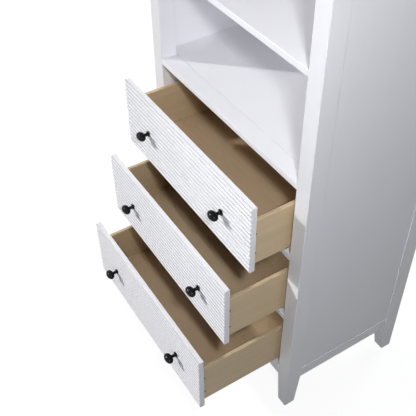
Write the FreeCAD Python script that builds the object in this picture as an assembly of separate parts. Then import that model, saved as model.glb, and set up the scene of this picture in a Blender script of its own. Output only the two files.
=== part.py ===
import FreeCAD, Part
import os
from FreeCAD import Vector

# A tall white bathroom cabinet: four posts, open shelves above, three drawers with reeded fronts below.
# Millimetres. X runs across the front, Y from the front to the wall, Z up from the floor.

# Posts and legs
cabinet_width = 762.0
cabinet_depth = 457.0
post_width = 50.0
post_depth = 52.0
post_edge_radius = 2.0
foot_width = 37.0
foot_depth = 38.0
leg_height = 128.0

# Boards, rails and panels of the carcass
board_thickness = 18.0
board_edge_radius = 1.0
apron_thickness = 22.0
bottom_rail_height = 40.0
side_rail_height = 44.0
side_rail_recess = 1.0
side_panel_thickness = 5.0
side_panel_recess = 3.0
panel_groove_depth = 6.0
back_panel_thickness = 5.0
back_panel_recess = 8.0
bottom_panel_thickness = 12.0
apron_height = 76.0
compartment_height = 298.0
top_thickness = 25.0
top_overhang = 10.0
top_edge_radius = 3.0
upper_shelf_setback = 5.0
upper_shelf_clearance = 1.0

# Shelf pins, dowels and wall fixing
pin_radius = 2.5
pin_tongue_width = 10.0
pin_tongue_height = 7.0
pin_reach = 9.0
pin_depth = 8.0
dowel_radius = 4.0
dowel_length = 30.0
dowel_shares = (0.3, 0.7)
anchor_hole_radius = 3.0
anchor_spacing = 406.0

# Drawer fronts: each closes flush with the posts, with a gap all round
front_height = 228.0
front_thickness = 18.0
front_side_gap = 3.0
front_gap = 5.0
reed_count = 15
reed_depth = 4.5

# Drawer boxes behind the fronts
box_length = 400.0
box_wall = 12.0
box_inset = 12.5
box_lift = 12.0
box_drop = 60.0
box_edge_radius = 2.0
box_bottom_thickness = 6.0
box_bottom_recess = 10.0
box_groove_depth = 6.0
screw_radius = 1.75
screw_length = 30.0
screw_head_radius = 3.5
screw_head_thickness = 2.0
screw_height_shares = (0.25, 0.7)
screw_setback_share = 0.75

# Knobs
knob_spacing = 391.0
knob_reach = 37.5
knob_head_length = 38.0
knob_head_radius = 12.5
knob_neck_radius = 4.8
knob_flange_radius = 9.5
knob_flange_thickness = 2.5
knob_flare_length = 5.5
flare_middle_share = 0.29
knob_screw_radius = 2.0
knob_screw_depth = 15.0
knob_screw_head_radius = 4.0
knob_screw_head_thickness = 2.5

# Runners under the drawer boxes
runner_back_gap = 6.0
runner_width = 34.0
runner_wall = 1.5
runner_play = 0.6
runner_side_gap = 5.0
runner_setback = 2.0
runner_fixed_height = 16.0
runner_middle_height = 18.0

# How far each drawer stands open, counted from closed
drawer_openings = {"bottom": 290.0, "middle": 205.0, "top": 130.0}

# Places worked out from the sizes above
half_width = cabinet_width / 2
opening_half = half_width - post_width
front_y = (max(drawer_openings.values()) + knob_reach - cabinet_depth) / 2
back_y = front_y + cabinet_depth
post_back_y = front_y + post_depth
rear_post_y = back_y - post_depth
back_panel_y = back_y - back_panel_recess - back_panel_thickness
side_panel_x = half_width - side_panel_recess - side_panel_thickness
side_rail_x = half_width - side_rail_recess - board_thickness

drawer_space = front_height + 2 * front_gap
first_floor = leg_height + bottom_rail_height
drawer_floors = {}
for level, drawer_name in enumerate(drawer_openings):
    drawer_floors[drawer_name] = first_floor + level * (drawer_space + board_thickness)
shelf_z = drawer_floors["top"] + drawer_space
upper_shelf_z = shelf_z + board_thickness + compartment_height
apron_z = upper_shelf_z + board_thickness + compartment_height
post_top = apron_z + apron_height

front_half = opening_half - front_side_gap
box_half = front_half - box_inset
box_inner_half = box_half - box_wall
runner_x = box_inner_half - runner_side_gap - runner_width / 2
runner_y = front_y + front_thickness + box_wall + runner_setback
runner_length = box_length - box_wall - runner_setback - runner_back_gap
runner_height = front_gap + box_lift + box_bottom_recess
quarter_turn = 90.0
full_turn = 360.0
X_AXIS = Vector(1, 0, 0)
Y_AXIS = Vector(0, 1, 0)
Z_AXIS = Vector(0, 0, 1)
ORIGIN = Vector(0, 0, 0)


def block(x_range, y_range, z_range):
    """Box between two places on each axis."""
    size = [high - low for low, high in (x_range, y_range, z_range)]
    return Part.makeBox(*size, Vector(x_range[0], y_range[0], z_range[0]))


def board(x_range, y_range, z_range, radius=board_edge_radius):
    """Box with every edge eased, as a painted board has."""
    plain = block(x_range, y_range, z_range)
    return plain.makeFillet(radius, plain.Edges)


def mirrored(shape):
    """The same piece on the other side of the cabinet."""
    return shape.mirror(ORIGIN, X_AXIS)


def cylinder(radius, start, direction, length):
    """Round bar from a point, along a direction."""
    return Part.makeCylinder(radius, length, start, direction)


def rounded_outline(x_range, y_range, z, radius):
    """Wire of a rectangle with round corners at one height."""
    low_x, high_x = x_range[0] + radius, x_range[1] - radius
    low_y, high_y = y_range[0] + radius, y_range[1] - radius
    centres = [(high_x, high_y), (low_x, high_y), (low_x, low_y), (high_x, low_y)]
    arcs = []
    for turn, (x, y) in enumerate(centres):
        start = turn * quarter_turn
        arcs.append(Part.makeCircle(radius, Vector(x, y, z), Z_AXIS, start, start + quarter_turn))
    edges = []
    for arc, following in zip(arcs, arcs[1:] + arcs[:1]):
        edges.append(arc)
        edges.append(Part.makeLine(arc.valueAt(arc.LastParameter), following.valueAt(following.FirstParameter)))
    return Part.Wire(edges)


def left_post(y_range, foot_y_range):
    """Square post whose leg tapers on its two inner sides down to a smaller foot."""
    x_range = (-half_width, -opening_half)
    foot_x_range = (-half_width, -half_width + foot_width)
    foot = rounded_outline(foot_x_range, foot_y_range, 0, post_edge_radius)
    shoulder = rounded_outline(x_range, y_range, leg_height, post_edge_radius)
    leg = Part.makeLoft([foot, shoulder], True, True)
    shaft = Part.Face(shoulder).extrude(Z_AXIS * (post_top - leg_height))
    return leg.fuse(shaft).removeSplitter()


def posts():
    """Four posts, mirrored from the two on the left."""
    front = left_post((front_y, post_back_y), (front_y, front_y + foot_depth))
    back = left_post((rear_post_y, back_y), (back_y - foot_depth, back_y))
    return {
        "post_front_left": front,
        "post_front_right": mirrored(front),
        "post_back_left": back,
        "post_back_right": mirrored(back),
    }


def front_rails():
    """Rails between the front posts: one over, two between and one under the drawers, one at the top."""
    span = (-opening_half, opening_half)
    flat = (front_y, post_back_y)
    upright = (front_y, front_y + apron_thickness)
    lower_z = drawer_floors["middle"] - board_thickness
    upper_z = drawer_floors["top"] - board_thickness
    return {
        "rail_above_drawers": board(span, flat, (shelf_z, shelf_z + board_thickness)),
        "divider_rail_upper": board(span, flat, (upper_z, upper_z + board_thickness)),
        "divider_rail_lower": board(span, flat, (lower_z, lower_z + board_thickness)),
        "bottom_front_rail": board(span, upright, (leg_height, first_floor)),
        "top_front_rail": board(span, upright, (apron_z, post_top)),
    }


def back_rails():
    """Rails between the back posts: two carry the runners, and the top one takes the wall screws."""
    span = (-opening_half, opening_half)
    flat = (back_panel_y - post_depth, back_panel_y)
    upright = (back_panel_y - board_thickness, back_panel_y)
    lower_z = drawer_floors["middle"] - board_thickness
    upper_z = drawer_floors["top"] - board_thickness
    return {
        "runner_rail_upper": board(span, flat, (upper_z, upper_z + board_thickness)),
        "runner_rail_lower": board(span, flat, (lower_z, lower_z + board_thickness)),
        "anchor_rail": board(span, upright, (apron_z, post_top)),
    }


def side_frames():
    """Thin side panels held in grooves between the posts and the side rails."""
    x_rail = (-side_rail_x - board_thickness, -side_rail_x)
    y_rail = (post_back_y, rear_post_y)
    low_top = leg_height + side_rail_height
    low = board(x_rail, y_rail, (leg_height, low_top))
    high = board(x_rail, y_rail, (apron_z, post_top))
    panel = block(
        (-side_panel_x - side_panel_thickness, -side_panel_x),
        (post_back_y - panel_groove_depth, rear_post_y + panel_groove_depth),
        (low_top - panel_groove_depth, apron_z + panel_groove_depth),
    )
    pieces = {"side_rail_bottom": low.cut(panel), "side_rail_top": high.cut(panel), "side_panel": panel}
    both = {}
    for name, shape in pieces.items():
        both[name + "_left"] = shape
        both[name + "_right"] = mirrored(shape)
    return both


def back_panel():
    """Thin sheet in grooves of the back posts, pierced for the wall screws."""
    half = opening_half + panel_groove_depth
    y_range = (back_panel_y, back_panel_y + back_panel_thickness)
    return block((-half, half), y_range, (leg_height, post_top))


def shelves(post_shapes):
    """Fixed shelf behind its rail, loose shelf on pins, drawer floor and top board."""
    fixed = board((-side_panel_x, side_panel_x), (post_back_y, back_panel_y), (shelf_z, shelf_z + board_thickness))
    floor = board(
        (-side_rail_x, side_rail_x),
        (front_y + apron_thickness, back_panel_y),
        (first_floor - bottom_panel_thickness, first_floor),
    )
    for post in post_shapes:
        fixed = fixed.cut(post)
        floor = floor.cut(post)
    top_half = half_width + top_overhang
    top = board(
        (-top_half, top_half), (front_y - top_overhang, back_y), (post_top, post_top + top_thickness), top_edge_radius
    )
    return {"fixed_shelf": fixed, "bottom_panel": floor, "upper_shelf": upper_shelf(), "top_board": top}


def upper_shelf():
    """Loose shelf notched round the four posts."""
    reach = side_panel_x - upper_shelf_clearance
    notch_x = opening_half - upper_shelf_clearance
    front_notch_y = post_back_y + upper_shelf_clearance
    back_notch_y = rear_post_y - upper_shelf_clearance
    front = front_y + upper_shelf_setback
    back = back_panel_y - upper_shelf_clearance
    right_side = [
        (notch_x, front), (notch_x, front_notch_y), (reach, front_notch_y),
        (reach, back_notch_y), (notch_x, back_notch_y), (notch_x, back),
    ]
    left_side = [(-x, y) for x, y in reversed(right_side)]
    points = [Vector(x, y, upper_shelf_z) for x, y in right_side + left_side]
    outline = Part.makePolygon(points + points[:1])
    plain = Part.Face(outline).extrude(Z_AXIS * board_thickness)
    return plain.makeFillet(board_edge_radius, plain.Edges)


def shelf_pins():
    """Four pins: a round stem in the post and a flat tongue under the loose shelf."""
    pins = []
    for y in (front_y + post_depth / 2, back_y - post_depth / 2):
        tongue = block(
            (-opening_half, -opening_half + pin_reach),
            (y - pin_tongue_width / 2, y + pin_tongue_width / 2),
            (upper_shelf_z - pin_tongue_height, upper_shelf_z),
        )
        stem_start = Vector(-opening_half - pin_depth, y, upper_shelf_z - pin_tongue_height / 2)
        pin = tongue.fuse(cylinder(pin_radius, stem_start, X_AXIS, pin_depth + pin_reach / 2))
        pins += [pin, mirrored(pin)]
    return pins


def dowels():
    """Two dowels in each end of every rail."""
    half_length = dowel_length / 2
    flat_z = [z - board_thickness / 2 for z in (drawer_floors["middle"], drawer_floors["top"])]
    spots = []
    for share in dowel_shares:
        for z in flat_z + [shelf_z + board_thickness / 2]:
            spots.append((front_y + post_depth * share, z))
        for z in flat_z:
            spots.append((rear_post_y + (back_panel_y - rear_post_y) * share, z))
        spots.append((front_y + apron_thickness / 2, leg_height + bottom_rail_height * share))
        spots.append((front_y + apron_thickness / 2, apron_z + apron_height * share))
        spots.append((back_panel_y - board_thickness / 2, apron_z + apron_height * share))
    bars = []
    for y, z in spots:
        bar = cylinder(dowel_radius, Vector(-opening_half - half_length, y, z), X_AXIS, dowel_length)
        bars += [bar, mirrored(bar)]
    side_x = -side_rail_x - board_thickness / 2
    side_z = []
    for share in dowel_shares:
        side_z += [leg_height + side_rail_height * share, apron_z + apron_height * share]
    for z in side_z:
        for y in (post_back_y, rear_post_y):
            bar = cylinder(dowel_radius, Vector(side_x, y - half_length, z), Y_AXIS, dowel_length)
            bars += [bar, mirrored(bar)]
    return bars


def anchor_holes():
    """Two holes through the top back rail and the back panel, for screws into the wall."""
    z = apron_z + apron_height / 2
    start_y = back_panel_y - board_thickness
    length = board_thickness + back_panel_thickness
    ends = (-anchor_spacing / 2, anchor_spacing / 2)
    return [cylinder(anchor_hole_radius, Vector(x, start_y, z), Y_AXIS, length) for x in ends]


def carcass():
    """Everything that stands still."""
    pieces = posts()
    post_shapes = list(pieces.values())
    pieces.update(front_rails())
    pieces.update(back_rails())
    pieces.update(side_frames())
    pieces.update(shelves(post_shapes))
    pieces["back_panel"] = back_panel()
    pins = shelf_pins()
    bars = dowels()
    for name, shape in pieces.items():
        if name.startswith("post_"):
            side = name.rsplit("_", 1)[1]
            shape = shape.cut(pieces["side_panel_" + side]).cut(pieces["back_panel"])
            shape = shape.cut(Part.makeCompound(pins))
        if name.startswith("post_") or "rail" in name:
            shape = shape.cut(Part.makeCompound(bars))
        if name in ("anchor_rail", "back_panel"):
            shape = shape.cut(Part.makeCompound(anchor_holes()))
        pieces[name] = shape
    pieces["shelf_pins"] = Part.makeCompound(pins)
    pieces["rail_dowels"] = Part.makeCompound(bars)
    return pieces


def reeded_front(y, z):
    """Drawer front whose face is a row of convex reeds that run across it."""
    pitch = front_height / reed_count
    groove_y = y + reed_depth
    rear_y = y + front_thickness
    x = -front_half
    edges = []
    for reed in range(reed_count):
        low = Vector(x, groove_y, z + reed * pitch)
        crest = Vector(x, y, z + (reed + 1 / 2) * pitch)
        high = Vector(x, groove_y, z + (reed + 1) * pitch)
        edges.append(Part.Arc(low, crest, high).toShape())
    corners = [
        Vector(x, groove_y, z + front_height), Vector(x, rear_y, z + front_height),
        Vector(x, rear_y, z), Vector(x, groove_y, z),
    ]
    for start, end in zip(corners, corners[1:]):
        edges.append(Part.makeLine(start, end))
    return Part.Face(Part.Wire(edges)).extrude(X_AXIS * (2 * front_half))


def knob_head(centre):
    """Oval head of a knob: a ball drawn out along X."""
    stretch = FreeCAD.Matrix()
    stretch.scale(knob_head_length / (2 * knob_head_radius), 1, 1)
    head = Part.makeSphere(knob_head_radius, ORIGIN, X_AXIS).transformGeometry(stretch)
    head.translate(centre)
    return head


def knob(x, y, z):
    """Knob with a flared foot, a thin neck and an oval head."""
    head_centre = Vector(0, 0, knob_reach - knob_head_radius)
    neck_end = head_centre + X_AXIS * knob_neck_radius
    rim = Vector(knob_flange_radius, 0, 0)
    rim_top = Vector(knob_flange_radius, 0, knob_flange_thickness)
    flare_width = knob_flange_radius - knob_neck_radius
    flare_end = Vector(knob_neck_radius, 0, knob_flange_thickness + knob_flare_length)
    flare_middle = Vector(
        knob_neck_radius + flare_width * flare_middle_share,
        0,
        knob_flange_thickness + knob_flare_length * flare_middle_share,
    )
    edges = [
        Part.makeLine(ORIGIN, rim),
        Part.makeLine(rim, rim_top),
        Part.Arc(rim_top, flare_middle, flare_end).toShape(),
        Part.makeLine(flare_end, neck_end),
        Part.makeLine(neck_end, head_centre),
        Part.makeLine(head_centre, ORIGIN),
    ]
    stem = Part.Face(Part.Wire(edges)).revolve(ORIGIN, Z_AXIS, full_turn)
    shape = stem.fuse(knob_head(head_centre)).removeSplitter()
    shape.rotate(ORIGIN, X_AXIS, quarter_turn)
    shape.translate(Vector(x, y, z))
    return shape


def headed_screw(start, direction, radius, length, head_radius, head_thickness):
    """Screw from the top of its head along a direction."""
    head = cylinder(head_radius, start, direction, head_thickness)
    return head.fuse(cylinder(radius, start, direction, length)).removeSplitter()


def knob_screw(x, y, z):
    """Screw from inside the box, through the box front and the drawer front, into a knob."""
    seat_y = y + front_thickness + box_wall
    length = knob_screw_head_thickness + box_wall + front_thickness + knob_screw_depth
    start = Vector(x, seat_y + knob_screw_head_thickness, z)
    sizes = (knob_screw_radius, length, knob_screw_head_radius, knob_screw_head_thickness)
    return headed_screw(start, -Y_AXIS, *sizes)


def box_screws(box_y, low_z, high_z):
    """Screws through the box sides into the ends of the box front and box back."""
    screws = []
    setback = box_wall * screw_setback_share
    for y in (box_y + setback, box_y + box_length - setback):
        for share in screw_height_shares:
            start = Vector(-box_half, y, low_z + (high_z - low_z) * share)
            screw = headed_screw(
                start, X_AXIS, screw_radius, screw_length, screw_head_radius, screw_head_thickness
            )
            screws += [screw, mirrored(screw)]
    return screws


def rounded_top(shape, high_z):
    """The same wall with the long edges of its top rounded over."""
    top_edges = [edge for edge in shape.Edges if edge.BoundBox.ZMin > high_z - box_edge_radius]
    long_edges = [edge for edge in top_edges if edge.Length > box_wall]
    return shape.makeFillet(box_edge_radius, long_edges)


def box_walls(box_y, low_z, high_z):
    """Four walls and the bottom of a drawer box, the bottom held in grooves."""
    back_end = box_y + box_length
    bottom_z = low_z + box_bottom_recess
    bottom_top = bottom_z + box_bottom_thickness
    inner = (-box_inner_half, box_inner_half)
    floor_half = box_inner_half + box_groove_depth
    floor_y = (box_y + box_wall - box_groove_depth, back_end)
    floor = block((-floor_half, floor_half), floor_y, (bottom_z, bottom_top))
    side = rounded_top(block((-box_half, -box_inner_half), (box_y, back_end), (low_z, high_z)), high_z)
    front = rounded_top(block(inner, (box_y, box_y + box_wall), (low_z, high_z)), high_z)
    back = rounded_top(block(inner, (back_end - box_wall, back_end), (bottom_top, high_z)), high_z)
    return {
        "box_front": front.cut(floor),
        "box_back": back,
        "box_side_left": side.cut(floor),
        "box_side_right": mirrored(side).cut(floor),
        "box_bottom": floor,
    }


def channel(width, y, z_range):
    """Pressed channel, open at the top, for the runner on the left."""
    half = width / 2
    y_range = (y, y + runner_length)
    outer = block((-runner_x - half, -runner_x + half), y_range, z_range)
    hollow_x = (-runner_x - half + runner_wall, -runner_x + half - runner_wall)
    hollow = block(hollow_x, y_range, (z_range[0] + runner_wall, z_range[1]))
    return outer.cut(hollow)


def nested_width(level):
    """Outer width of a runner member, each one inside the last with play on both sides."""
    return runner_width - 2 * level * (runner_wall + runner_play)


def fixed_runner(floor_z):
    """Channel that lies on the rails."""
    return channel(runner_width, runner_y, (floor_z, floor_z + runner_fixed_height))


def middle_runner(floor_z, opening):
    """Channel that travels half as far as the drawer."""
    low_z = floor_z + runner_wall + runner_play
    return channel(nested_width(1), runner_y - opening / 2, (low_z, low_z + runner_middle_height))


def drawer_runner(floor_z, opening):
    """Inverted channel with a flat top flange under the box bottom."""
    y_range = (runner_y - opening, runner_y - opening + runner_length)
    half = nested_width(2) / 2
    low_z = floor_z + 2 * (runner_wall + runner_play)
    high_z = floor_z + runner_height
    outer = block((-runner_x - half, -runner_x + half), y_range, (low_z, high_z))
    hollow_x = (-runner_x - half + runner_wall, -runner_x + half - runner_wall)
    hollow = block(hollow_x, y_range, (low_z, high_z - runner_wall))
    flange_x = (-runner_x - runner_width / 2, -runner_x + runner_width / 2)
    flange = block(flange_x, y_range, (high_z - runner_wall, high_z))
    return outer.cut(hollow).fuse(flange).removeSplitter()


def pair(shape):
    """A piece and its mirror image as two separate solids."""
    return Part.makeCompound([shape, mirrored(shape)])


def drawer(name, opening):
    """One drawer with its knobs, screws and runner members, standing open."""
    floor_z = drawer_floors[name]
    y = front_y - opening
    z = floor_z + front_gap
    box_y = y + front_thickness
    low_z = z + box_lift
    high_z = z + front_height - box_drop
    knob_z = z + front_height / 2
    pieces = box_walls(box_y, low_z, high_z)
    pieces["front"] = reeded_front(y, z)
    pieces["knob_left"] = knob(-knob_spacing / 2, y, knob_z)
    pieces["knob_right"] = knob(knob_spacing / 2, y, knob_z)
    screws = [knob_screw(x, y, knob_z) for x in (-knob_spacing / 2, knob_spacing / 2)]
    screws += box_screws(box_y, low_z, high_z)
    fasteners = Part.makeCompound(screws)
    pieces = {piece: shape.cut(fasteners) for piece, shape in pieces.items()}
    pieces["screws"] = fasteners
    pieces["runner_slides"] = pair(drawer_runner(floor_z, opening))
    named = {"drawer_" + name + "_" + piece: shape for piece, shape in pieces.items()}
    named["runner_middle_" + name] = pair(middle_runner(floor_z, opening))
    return named


def all_pieces():
    """Every node of the cabinet by name."""
    pieces = carcass()
    fixed = []
    for name, opening in drawer_openings.items():
        pieces.update(drawer(name, opening))
        runner = fixed_runner(drawer_floors[name])
        fixed += [runner, mirrored(runner)]
    pieces["runner_fixed"] = Part.makeCompound(fixed)
    return pieces


os.makedirs("parts", exist_ok=True)
for node, shape in all_pieces().items():
    shape.exportStep("parts/" + node + ".step")
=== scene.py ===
import math

import bpy
from mathutils import Matrix, Vector


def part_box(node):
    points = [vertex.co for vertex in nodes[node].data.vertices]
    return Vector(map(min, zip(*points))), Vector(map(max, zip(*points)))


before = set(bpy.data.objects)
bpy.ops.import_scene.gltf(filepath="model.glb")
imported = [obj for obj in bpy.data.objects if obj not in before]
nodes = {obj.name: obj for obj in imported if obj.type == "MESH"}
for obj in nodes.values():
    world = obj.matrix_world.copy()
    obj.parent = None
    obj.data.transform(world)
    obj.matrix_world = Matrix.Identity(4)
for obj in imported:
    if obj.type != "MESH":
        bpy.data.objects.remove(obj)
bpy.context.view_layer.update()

# Lengths are in metres, and places before the cabinet are given from the front plane of its posts
front_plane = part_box("post_front_left")[0].y
middle = Vector((0.0, front_plane, 0.8))
drawer_names = ("top", "middle", "bottom")
reed_count = 15

# Camera at the photograph's angle
image_pixels = 416
focal_pixels = 709.7
sensor_width = 36.0
camera_place = Vector((1.3028, front_plane - 0.8445, 2.0781))
camera_target = Vector((-0.0808, front_plane, 0.5235))
camera_roll = math.radians(-0.904)

# Key: a sharp sun from the left front
key_direction = Vector((0.95, 1.0, -0.74))
key_distance = 3.0
key_strength = 1.70
key_angle = math.radians(3.0)
key_tint = (1.0, 0.99, 0.98)

# Fill: a small near lamp on the right, and two beams from its place to the left and to the low drawers
fill_place = Vector((1.26, front_plane - 0.585, 2.06))
fill_target = Vector((0.1, front_plane, 0.7))
fill_size = 0.17
fill_power = 13.6
fill_tint = (0.96, 0.98, 1.0)
beam_angle = math.radians(24.0)
beam_softness = 0.085
beam_left_target = Vector((-0.34, front_plane + 0.05, 0.92))
beam_left_power = 12.0
beam_low_target = Vector((-0.22, front_plane - 0.2, 0.48))
beam_low_power = 16.0

# Shelf: a beam into the open compartments
shelf_place = Vector((0.45, front_plane - 1.7, 1.5))
shelf_target = Vector((-0.22, front_plane + 0.35, 1.08))
shelf_angle = math.radians(24.0)
shelf_softness = 0.2
shelf_power = 17.0

# Soft lamps all round
white = (1.0, 1.0, 1.0)
soft_size = 1.6
front_place = Vector((-1.5, front_plane - 2.75, 2.2))
front_size = 0.8
front_power = 14.5
right_place = Vector((2.3, front_plane - 2.235, 1.9))
right_power = 19.0
right_tint = (0.86, 0.93, 1.0)
back_place = Vector((-0.6, 3.4, 1.7))
back_target = Vector((0.0, 0.4, 0.8))
back_power = 60.0
left_place = Vector((-3.2, 0.9, 1.5))
left_target = Vector((-0.4, 0.2, 0.8))
left_power = 30.0

# World and floor: the floor's glow for the camera goes from its near level to white at the far distance
ambient_strength = 0.03
backdrop_strength = 1.0
floor_grey = 0.16
floor_distances = (1.2, 5.0)
floor_glow = (0.90, 1.0)
floor_radius = 14.0
floor_sides = 96

# Colours, linear
paint_colour = (0.922, 0.914, 0.950)
# Painted light: the same paint made lighter on the boards round the open compartments
lit_panel_colour = (0.955, 0.948, 0.980)
worn_paint = (0.80, 0.79, 0.78)
worn_reeds = (0.80, 0.79, 0.79)
seam_colour = (0.60, 0.60, 0.63)
# Painted shade down in the reed grooves
groove_shade_colour = (0.40, 0.40, 0.43)
wood_colours = ((0.76, 0.585, 0.375), (0.66, 0.500, 0.310))
board_colours = ((0.82, 0.615, 0.395), (0.76, 0.565, 0.360))
beech_colours = ((0.60, 0.44, 0.28), (0.48, 0.33, 0.19))
black_colour = (0.002, 0.002, 0.0022)
rubbed_black = (0.05, 0.048, 0.045)
nickel_colours = ((0.55, 0.54, 0.52), (0.68, 0.67, 0.65))
zinc_colours = ((0.50, 0.51, 0.53), (0.66, 0.67, 0.69))
screw_colours = ((0.018, 0.014, 0.010), (0.04, 0.032, 0.024))

# Noises: their scales across and along the grain, and how they are built up
paint_clouds = {"across": 9.0, "along": 3.0, "detail": 4.0}
paint_scuffs = {"across": 160.0, "along": 40.0, "detail": 5.0}
paint_grain = {"across": 420.0, "along": 14.0, "detail": 4.0, "roughness": 0.6}
paint_peel = {"across": 900.0, "along": 900.0, "detail": 2.0}
paint_gloss = {"across": 30.0, "along": 12.0}
reed_clouds = {"across": 12.0, "along": 3.0, "detail": 4.0}
reed_scuffs = {"across": 180.0, "along": 60.0, "detail": 5.0}
reed_peel = {"across": 900.0, "along": 700.0, "detail": 2.0}
reed_gloss = {"across": 40.0, "along": 10.0}
wood_figure = {"across": 16.0, "along": 1.6, "distortion": 0.6}
wood_lines = {"along": 2.2, "detail": 5.0, "roughness": 0.62, "distortion": 0.4}
wood_pores = {"across": 1400.0, "along": 45.0, "detail": 2.0}
black_specks = {"across": 1800.0, "along": 1800.0}
black_rubs = {"across": 500.0, "along": 500.0, "detail": 4.0}
black_gloss = {"across": 240.0, "along": 240.0}
steel_clouds = {"across": 120.0, "along": 40.0, "detail": 4.0}
steel_marks = {"across": 2600.0, "along": 30.0, "detail": 2.0}

# Spans that a noise or a measure is moved from and to
whole = (0.0, 1.0)
noise_span = (0.3, 0.7)
edge_cosines = (0.995, 0.85)
paint_scuff_span, paint_scuff_share = (0.45, 0.7), (0.0, 0.5)
seam_share = (0.0, 0.6)
# Painted shade in the reed grooves: the facing it needs, and where in the groove it lies
groove_shade_facing = (-0.25, -0.45)
groove_shade_span, groove_shade_share = (0.26, 0.44), (0.0, 0.95)
reed_scuff_span, reed_scuff_share = (0.62, 0.75), (0.0, 0.12)
line_span = (0.30, 0.72)
figure_share = (0.0, 0.45)
pore_span, pore_share = (0.58, 0.74), (0.0, 0.22)
wood_edge_share = (0.0, 0.30)
speck_span = (0.4, 0.75)
rub_span, rub_share = (0.5, 0.7), (0.0, 0.5)
steel_edge_share = (0.0, 0.4)
paint_roughness = (0.38, 0.52)
reed_roughness = (0.36, 0.48)
black_roughness = (0.11, 0.17)
nickel_roughness = (0.22, 0.34)
zinc_roughness = (0.28, 0.46)
screw_roughness = (0.5, 0.65)
wood_roughness_step = 0.14

# Factors on a colour
paint_shades = (0.975, 1.015)
# Painted light: the reeds' paint lighter than elsewhere, with random cloudy tone between the two
reed_lit_shades = (1.02, 1.05)
figure_shade = 0.94
pore_shade = 0.62
wood_edge_shade = 1.08
# Painted shade: factors on the dark wood colour where the wood lies closed in
painted_shade_factors = (0.17, 0.11, 0.065)
speck_shade = 2.5
steel_edge_shade = 1.25

# Radii of softened edges, and bumps as distance and strength
paint_edge, wood_edge, black_edge, steel_edge = 0.0016, 0.0009, 0.0006, 0.0005
paint_grain_bump = (0.0004, 0.10)
paint_peel_bump = (0.0002, 0.06)
reed_peel_bump = (0.0002, 0.05)
wood_line_bump = (0.0006, 0.10)
wood_pore_bump = (0.0003, 0.18)
black_bump = (0.0002, 0.02)
steel_bump = (0.0002, 0.12)

# Other values of the finishes
edge_samples = 6
open_samples = 24
# Reach of the painted shade on wood, and the part of its open share at which it is full
painted_shade_reach = 0.8
painted_shade_full = 0.2
seam_half_width = 0.0012
half_turn = 0.5
lacquer = {"IOR": 1.46, "Coat_Weight": 0.10, "Coat_Roughness": 0.25}
wood_ior = 1.45
black_ior = 1.26

# Kinds of wood: ring scale, least roughness, and the open share under which painted shade turns the wood a deeper
# brown
box_wood = {"ring_scale": 46.0, "shine": 0.42, "painted_shade_open": 0.05}
bottom_board = {"ring_scale": 90.0, "shine": 0.40, "painted_shade_open": 0.09}
beech = {"ring_scale": 220.0, "shine": 0.5, "painted_shade_open": 0.05}

AXES = {"x": 0, "y": 1, "z": 2}
MIX_FIRST, MIX_SECOND, MIX_RESULT = 6, 7, 2  # the colour sockets of a Mix node


def scaled(colour, factor):
    return [min(1.0, c * factor) for c in colour]


class Graph:
    """A node tree while it is being put together."""

    def __init__(self, tree):
        self.tree = tree

    def node(self, kind, inputs=None, **settings):
        """Adds a node. An input is a constant, or the socket of another node."""
        node = self.tree.nodes.new(kind)
        for name, value in settings.items():
            setattr(node, name, value)
        for name, value in (inputs or {}).items():
            self.feed(node.inputs[name], value)
        return node

    def feed(self, socket, value):
        if isinstance(value, bpy.types.NodeSocket):
            self.tree.links.new(value, socket)
        else:
            socket.default_value = value

    def maths(self, operation, *values):
        return self.node("ShaderNodeMath", dict(enumerate(values)), operation=operation).outputs[0]

    def ranged(self, value, span, to_span=whole):
        """A value moved from one span to another, and held inside it."""
        inputs = {
            "Value": value, "From Min": span[0], "From Max": span[1],
            "To Min": to_span[0], "To Max": to_span[1],
        }
        return self.node("ShaderNodeMapRange", inputs).outputs["Result"]

    def seen_directly(self):
        """1 for the camera's rays and for those that mirrors and glass send on, 0 for the light's own paths."""
        path = self.node("ShaderNodeLightPath").outputs
        seen = path["Is Camera Ray"]
        for ray in ("Is Glossy Ray", "Is Transmission Ray"):
            seen = self.maths("MAXIMUM", seen, path[ray])
        return seen


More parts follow.
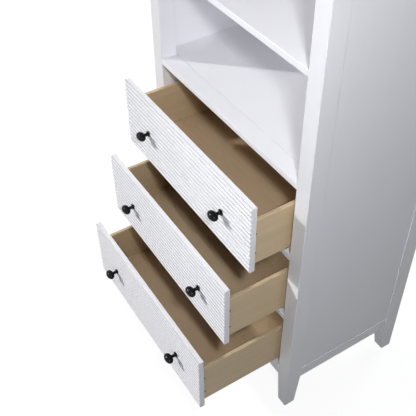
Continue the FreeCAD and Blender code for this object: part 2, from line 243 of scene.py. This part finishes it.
class Finish(Graph):
    """A material on the surface shader."""

    def __init__(self, name):
        self.material = bpy.data.materials.new(name)
        self.material.use_nodes = True
        super().__init__(self.material.node_tree)
        self.shader = self.tree.nodes["Principled BSDF"]

    def set(self, **inputs):
        """Inputs of the surface shader, with spaces in their names written as underscores."""
        for name, value in inputs.items():
            self.feed(self.shader.inputs[name.replace("_", " ")], value)

    def noise(self, axis, across, along, detail=3.0, roughness=0.5, distortion=0.0):
        """Noise on object coordinates, scaled so that it runs long along one axis."""
        scale = [across] * 3
        scale[AXES[axis]] = along
        place = self.node("ShaderNodeTexCoord").outputs["Object"]
        mapping = self.node("ShaderNodeMapping", {"Vector": place, "Scale": scale})
        inputs = {
            "Vector": mapping.outputs["Vector"], "Scale": 1.0, "Detail": detail,
            "Roughness": roughness, "Distortion": distortion,
        }
        return self.node("ShaderNodeTexNoise", inputs).outputs["Fac"]

    def component(self, vector, letter):
        return self.node("ShaderNodeSeparateXYZ", {"Vector": vector}).outputs[letter]

    def mixed(self, share, first, second):
        node = self.node("ShaderNodeMix", data_type="RGBA")
        self.feed(node.inputs["Factor"], share)
        for socket, value in ((node.inputs[MIX_FIRST], first), (node.inputs[MIX_SECOND], second)):
            self.feed(socket, value if isinstance(value, bpy.types.NodeSocket) else (*value, 1.0))
        return node.outputs[MIX_RESULT]

    def edge_share(self, radius):
        """Near 1 on the outer and inner edges of a piece, 0 on its flats; and the softened normal."""
        soft = self.node("ShaderNodeBevel", {"Radius": radius}, samples=edge_samples).outputs["Normal"]
        flat = self.node("ShaderNodeNewGeometry").outputs["Normal"]
        dot = self.node("ShaderNodeVectorMath", {0: soft, 1: flat}, operation="DOT_PRODUCT")
        return self.ranged(dot.outputs["Value"], edge_cosines), soft

    def open_share(self, reach):
        """1 where a surface lies open, 0 where others close it in within a reach."""
        return self.node("ShaderNodeAmbientOcclusion", {"Distance": reach}, samples=open_samples).outputs["AO"]

    def bump(self, height, distance, strength, normal=None):
        inputs = {"Height": height, "Distance": distance, "Strength": strength}
        if normal is not None:
            inputs["Normal"] = normal
        return self.node("ShaderNodeBump", inputs).outputs["Normal"]


def white_paint(name, axis, base=paint_colour, seam=None):
    """Sprayed satin lacquer over wood: faint long grain, fine orange peel and softened, slightly worn edges.

    With a seam, a fine line along X shows at that Y where two boards meet flush, and the edges stay crisp.
    """
    finish = Finish(name)
    clouds = finish.noise(axis, **paint_clouds)
    colour = finish.mixed(clouds, *(scaled(base, shade) for shade in paint_shades))
    edge, soft = finish.edge_share(paint_edge)
    scuffs = finish.noise(axis, **paint_scuffs)
    worn = finish.maths("MULTIPLY", edge, finish.ranged(scuffs, paint_scuff_span, paint_scuff_share))
    colour = finish.mixed(worn, colour, worn_paint)
    if seam is not None:
        soft = None
        depth = finish.component(finish.node("ShaderNodeTexCoord").outputs["Object"], "Y")
        line = finish.maths("COMPARE", depth, seam, seam_half_width)
        colour = finish.mixed(finish.ranged(line, whole, seam_share), colour, seam_colour)
    grain = finish.noise(axis, **paint_grain)
    peel = finish.noise(axis, **paint_peel)
    normal = finish.bump(grain, *paint_grain_bump, soft)
    normal = finish.bump(peel, *paint_peel_bump, normal)
    roughness = finish.ranged(finish.noise(axis, **paint_gloss), noise_span, paint_roughness)
    finish.set(Base_Color=colour, Roughness=roughness, Normal=normal, **lacquer)
    return finish.material


def reeded_paint(name):
    """The same lacquer on the reeds, made lighter as painted light, with painted shade down in the grooves."""
    finish = Finish(name)
    clouds = finish.noise("x", **reed_clouds)
    # Painted light: the reeds take the paint a little lighter than the other boards, with random cloudy tone
    # between
    colour = finish.mixed(clouds, *(scaled(paint_colour, shade) for shade in reed_lit_shades))
    height = finish.component(finish.node("ShaderNodeTexCoord").outputs["Generated"], "Z")
    turns = finish.maths("MULTIPLY_ADD", height, float(reed_count), -half_turn)
    groove = finish.maths("PINGPONG", turns, half_turn)
    forward = finish.component(finish.node("ShaderNodeNewGeometry").outputs["Normal"], "Y")
    # Painted shade: the reeds are darker down in their grooves where they face the front
    reeded = finish.ranged(forward, groove_shade_facing)
    deep = finish.ranged(groove, groove_shade_span, groove_shade_share)
    colour = finish.mixed(finish.maths("MULTIPLY", reeded, deep), colour, groove_shade_colour)
    scuffs = finish.noise("x", **reed_scuffs)
    colour = finish.mixed(finish.ranged(scuffs, reed_scuff_span, reed_scuff_share), colour, worn_reeds)
    normal = finish.bump(finish.noise("x", **reed_peel), *reed_peel_bump)
    roughness = finish.ranged(finish.noise("x", **reed_gloss), noise_span, reed_roughness)
    finish.set(Base_Color=colour, Roughness=roughness, Normal=normal, **lacquer)
    return finish.material


def grained_wood(name, axis, colours, ring_scale, shine, painted_shade_open):
    """Lacquered wood: broad figure, growth lines and fine pores, all long along one axis.

    Where less than the open share of the surroundings lies open, painted shade turns the wood a deeper brown: the
    shade deep in the drawers is painted into the colour.
    """
    pale, dark = colours
    finish = Finish(name)
    figure = finish.noise(axis, **wood_figure)
    lines = finish.noise(axis, ring_scale, **wood_lines)
    pores = finish.noise(axis, **wood_pores)
    colour = finish.mixed(finish.ranged(lines, line_span), pale, dark)
    colour = finish.mixed(finish.ranged(figure, noise_span, figure_share), colour, scaled(dark, figure_shade))
    colour = finish.mixed(finish.ranged(pores, pore_span, pore_share), colour, scaled(dark, pore_shade))
    edge, soft = finish.edge_share(wood_edge)
    colour = finish.mixed(finish.ranged(edge, whole, wood_edge_share), colour, scaled(pale, wood_edge_shade))
    # Painted shade: a darker brown where ambient occlusion finds the wood closed in
    painted_shade = finish.ranged(finish.open_share(painted_shade_reach), (painted_shade_open * painted_shade_full, painted_shade_open), whole[::-1])
    colour = finish.mixed(painted_shade, colour, [c * shade for c, shade in zip(dark, painted_shade_factors)])
    normal = finish.bump(lines, *wood_line_bump, soft)
    normal = finish.bump(pores, *wood_pore_bump, normal)
    roughness = finish.ranged(lines, noise_span, (shine, shine + wood_roughness_step))
    finish.set(Base_Color=colour, Roughness=roughness, Normal=normal, IOR=wood_ior)
    return finish.material


def black_knob(name):
    """Satin black enamel on metal."""
    finish = Finish(name)
    specks = finish.noise("x", **black_specks)
    colour = finish.mixed(finish.ranged(specks, speck_span), black_colour, scaled(black_colour, speck_shade))
    edge, soft = finish.edge_share(black_edge)
    rubs = finish.noise("x", **black_rubs)
    worn = finish.maths("MULTIPLY", edge, finish.ranged(rubs, rub_span, rub_share))
    colour = finish.mixed(worn, colour, rubbed_black)
    normal = finish.bump(specks, *black_bump, soft)
    roughness = finish.ranged(finish.noise("x", **black_gloss), noise_span, black_roughness)
    finish.set(Base_Color=colour, Roughness=roughness, Normal=normal, IOR=black_ior)
    return finish.material


def plated_steel(name, axis, colours, roughness_span):
    """Plated metal with rolling marks along one axis and cloudy spangle."""
    finish = Finish(name)
    clouds = finish.noise(axis, **steel_clouds)
    marks = finish.noise(axis, **steel_marks)
    colour = finish.mixed(finish.ranged(clouds, noise_span), *colours)
    edge, soft = finish.edge_share(steel_edge)
    bright = scaled(colours[1], steel_edge_shade)
    colour = finish.mixed(finish.ranged(edge, whole, steel_edge_share), colour, bright)
    normal = finish.bump(marks, *steel_bump, soft)
    roughness = finish.ranged(clouds, noise_span, roughness_span)
    finish.set(Base_Color=colour, Metallic=1.0, Roughness=roughness, Normal=normal)
    return finish.material


def dress(finish, *names):
    """Gives CAD nodes their finish."""
    for name in names:
        for slot in nodes[name].material_slots:
            slot.material = finish


def dress_carcass():
    upright = white_paint("paint_upright", "z")
    across = white_paint("paint_across", "x")
    deep = white_paint("paint_deep", "y")
    for side in ("left", "right"):
        dress(upright, "post_front_" + side, "post_back_" + side)
        dress(deep, "side_rail_bottom_" + side, "side_rail_top_" + side)
    dress(upright, "side_panel_right")
    dress(
        across, "divider_rail_upper", "divider_rail_lower", "bottom_front_rail", "top_front_rail",
        "runner_rail_upper", "runner_rail_lower", "anchor_rail", "bottom_panel", "top_board",
    )
    # Painted light: the boards round the open compartments take the lighter copy of the paint
    dress(white_paint("paint_lit_upright", "z", lit_panel_colour), "side_panel_left", "back_panel")
    dress(white_paint("paint_lit_across", "x", lit_panel_colour), "upper_shelf")
    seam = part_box("rail_above_drawers")[1].y
    dress(white_paint("paint_lit_seamed", "x", lit_panel_colour, seam), "rail_above_drawers", "fixed_shelf")
    dress(plated_steel("pin_nickel", "x", nickel_colours, nickel_roughness), "shelf_pins")
    dress(grained_wood("dowel_beech", "x", beech_colours, **beech), "rail_dowels")


def dress_drawers():
    front = reeded_paint("paint_reeded")
    deep = grained_wood("box_wood_deep", "y", wood_colours, **box_wood)
    across = grained_wood("box_wood_across", "x", wood_colours, **box_wood)
    bottom = grained_wood("bottom_board", "x", board_colours, **bottom_board)
    black = black_knob("knob_black_enamel")
    steel = plated_steel("runner_zinc", "y", zinc_colours, zinc_roughness)
    screw = plated_steel("screw_dark", "x", screw_colours, screw_roughness)
    for name in drawer_names:
        drawer = "drawer_" + name + "_"
        dress(front, drawer + "front")
        dress(deep, drawer + "box_side_left", drawer + "box_side_right")
        dress(across, drawer + "box_front", drawer + "box_back")
        dress(bottom, drawer + "box_bottom")
        dress(black, drawer + "knob_left", drawer + "knob_right")
        dress(steel, drawer + "runner_slides", "runner_middle_" + name)
        dress(screw, drawer + "screws")
    dress(steel, "runner_fixed")


def floor_material():
    """Pale floor: white to the camera with the shadow kept, and a quiet grey to the light that bounces off it."""
    material = bpy.data.materials.new("floor_pale")
    material.use_nodes = True
    material.node_tree.nodes.clear()
    graph = Graph(material.node_tree)
    seen = graph.seen_directly()
    place = graph.node("ShaderNodeNewGeometry").outputs["Position"]
    distance = graph.node("ShaderNodeVectorMath", {0: place}, operation="LENGTH").outputs["Value"]
    level = graph.ranged(distance, floor_distances, floor_glow)
    glow = graph.node("ShaderNodeEmission", {"Strength": level}).outputs[0]
    grey = {"Color": (floor_grey, floor_grey, floor_grey, 1.0)}
    shaded = graph.node("ShaderNodeBsdfDiffuse", grey).outputs[0]
    both = graph.node("ShaderNodeAddShader", {0: glow, 1: shaded}).outputs[0]
    bounce = graph.node("ShaderNodeBsdfDiffuse", grey).outputs[0]
    choose = graph.node("ShaderNodeMixShader", {0: seen, 1: bounce, 2: both}).outputs[0]
    graph.node("ShaderNodeOutputMaterial", {"Surface": choose})
    return material


def make_floor():
    mesh = bpy.data.meshes.new("floor")
    turns = [math.tau * side / floor_sides for side in range(floor_sides)]
    rim = [(floor_radius * math.cos(turn), floor_radius * math.sin(turn), 0.0) for turn in turns]
    mesh.from_pydata(rim, [], [list(range(floor_sides))])
    floor = bpy.data.objects.new("floor", mesh)
    bpy.context.scene.collection.objects.link(floor)
    mesh.materials.append(floor_material())


def make_world():
    """White to the camera and to mirrors; a low even light to everything else."""
    world = bpy.data.worlds.new("studio")
    world.use_nodes = True
    graph = Graph(world.node_tree)
    background = world.node_tree.nodes["Background"]
    level = graph.ranged(graph.seen_directly(), whole, (ambient_strength, backdrop_strength))
    graph.feed(background.inputs["Strength"], level)
    graph.feed(background.inputs["Color"], (*white, 1.0))
    bpy.context.scene.world = world


def facing(place, target):
    """The turn of a lamp or camera at a place that looks at a target."""
    return (target - place).to_track_quat("-Z", "Y")


def lamp(name, kind, place, target, **settings):
    data = bpy.data.lights.new(name, kind)
    for key, value in settings.items():
        setattr(data, key, value)
    thing = bpy.data.objects.new(name, data)
    bpy.context.scene.collection.objects.link(thing)
    thing.location = place
    thing.rotation_euler = facing(place, target).to_euler()
    thing.visible_camera = False


def soft_lamp(name, place, target, power, size=soft_size, tint=white):
    lamp(name, "AREA", place, target, energy=power, color=tint, shape="DISK", size=size)


def spot_lamp(name, place, target, power, angle, softness, tint=white):
    lamp(
        name, "SPOT", place, target, energy=power, color=tint,
        spot_size=angle, spot_blend=1.0, shadow_soft_size=softness,
    )


def make_lights():
    lamp(
        "key", "SUN", middle - key_direction * key_distance, middle,
        energy=key_strength, angle=key_angle, color=key_tint,
    )
    soft_lamp("fill", fill_place, fill_target, fill_power, fill_size, fill_tint)
    beams = (("beam_left", beam_left_target, beam_left_power), ("beam_low", beam_low_target, beam_low_power))
    for name, target, power in beams:
        spot_lamp(name, fill_place, target, power, beam_angle, beam_softness, fill_tint)
    soft_lamp("front", front_place, middle, front_power, front_size)
    soft_lamp("right", right_place, middle, right_power, tint=right_tint)
    spot_lamp("shelf", shelf_place, shelf_target, shelf_power, shelf_angle, shelf_softness)
    soft_lamp("back", back_place, back_target, back_power)
    soft_lamp("left", left_place, left_target, left_power)


def make_camera():
    data = bpy.data.cameras.new("camera")
    data.sensor_width = sensor_width
    data.lens = focal_pixels / image_pixels * sensor_width
    camera = bpy.data.objects.new("camera", data)
    bpy.context.scene.collection.objects.link(camera)
    turn = facing(camera_place, camera_target).to_matrix().to_4x4()
    camera.matrix_world = Matrix.Translation(camera_place) @ turn @ Matrix.Rotation(camera_roll, 4, "Z")
    bpy.context.scene.camera = camera


dress_carcass()
dress_drawers()
make_floor()
make_world()
make_lights()
make_camera()
bpy.context.scene.view_settings.view_transform = "Standard"
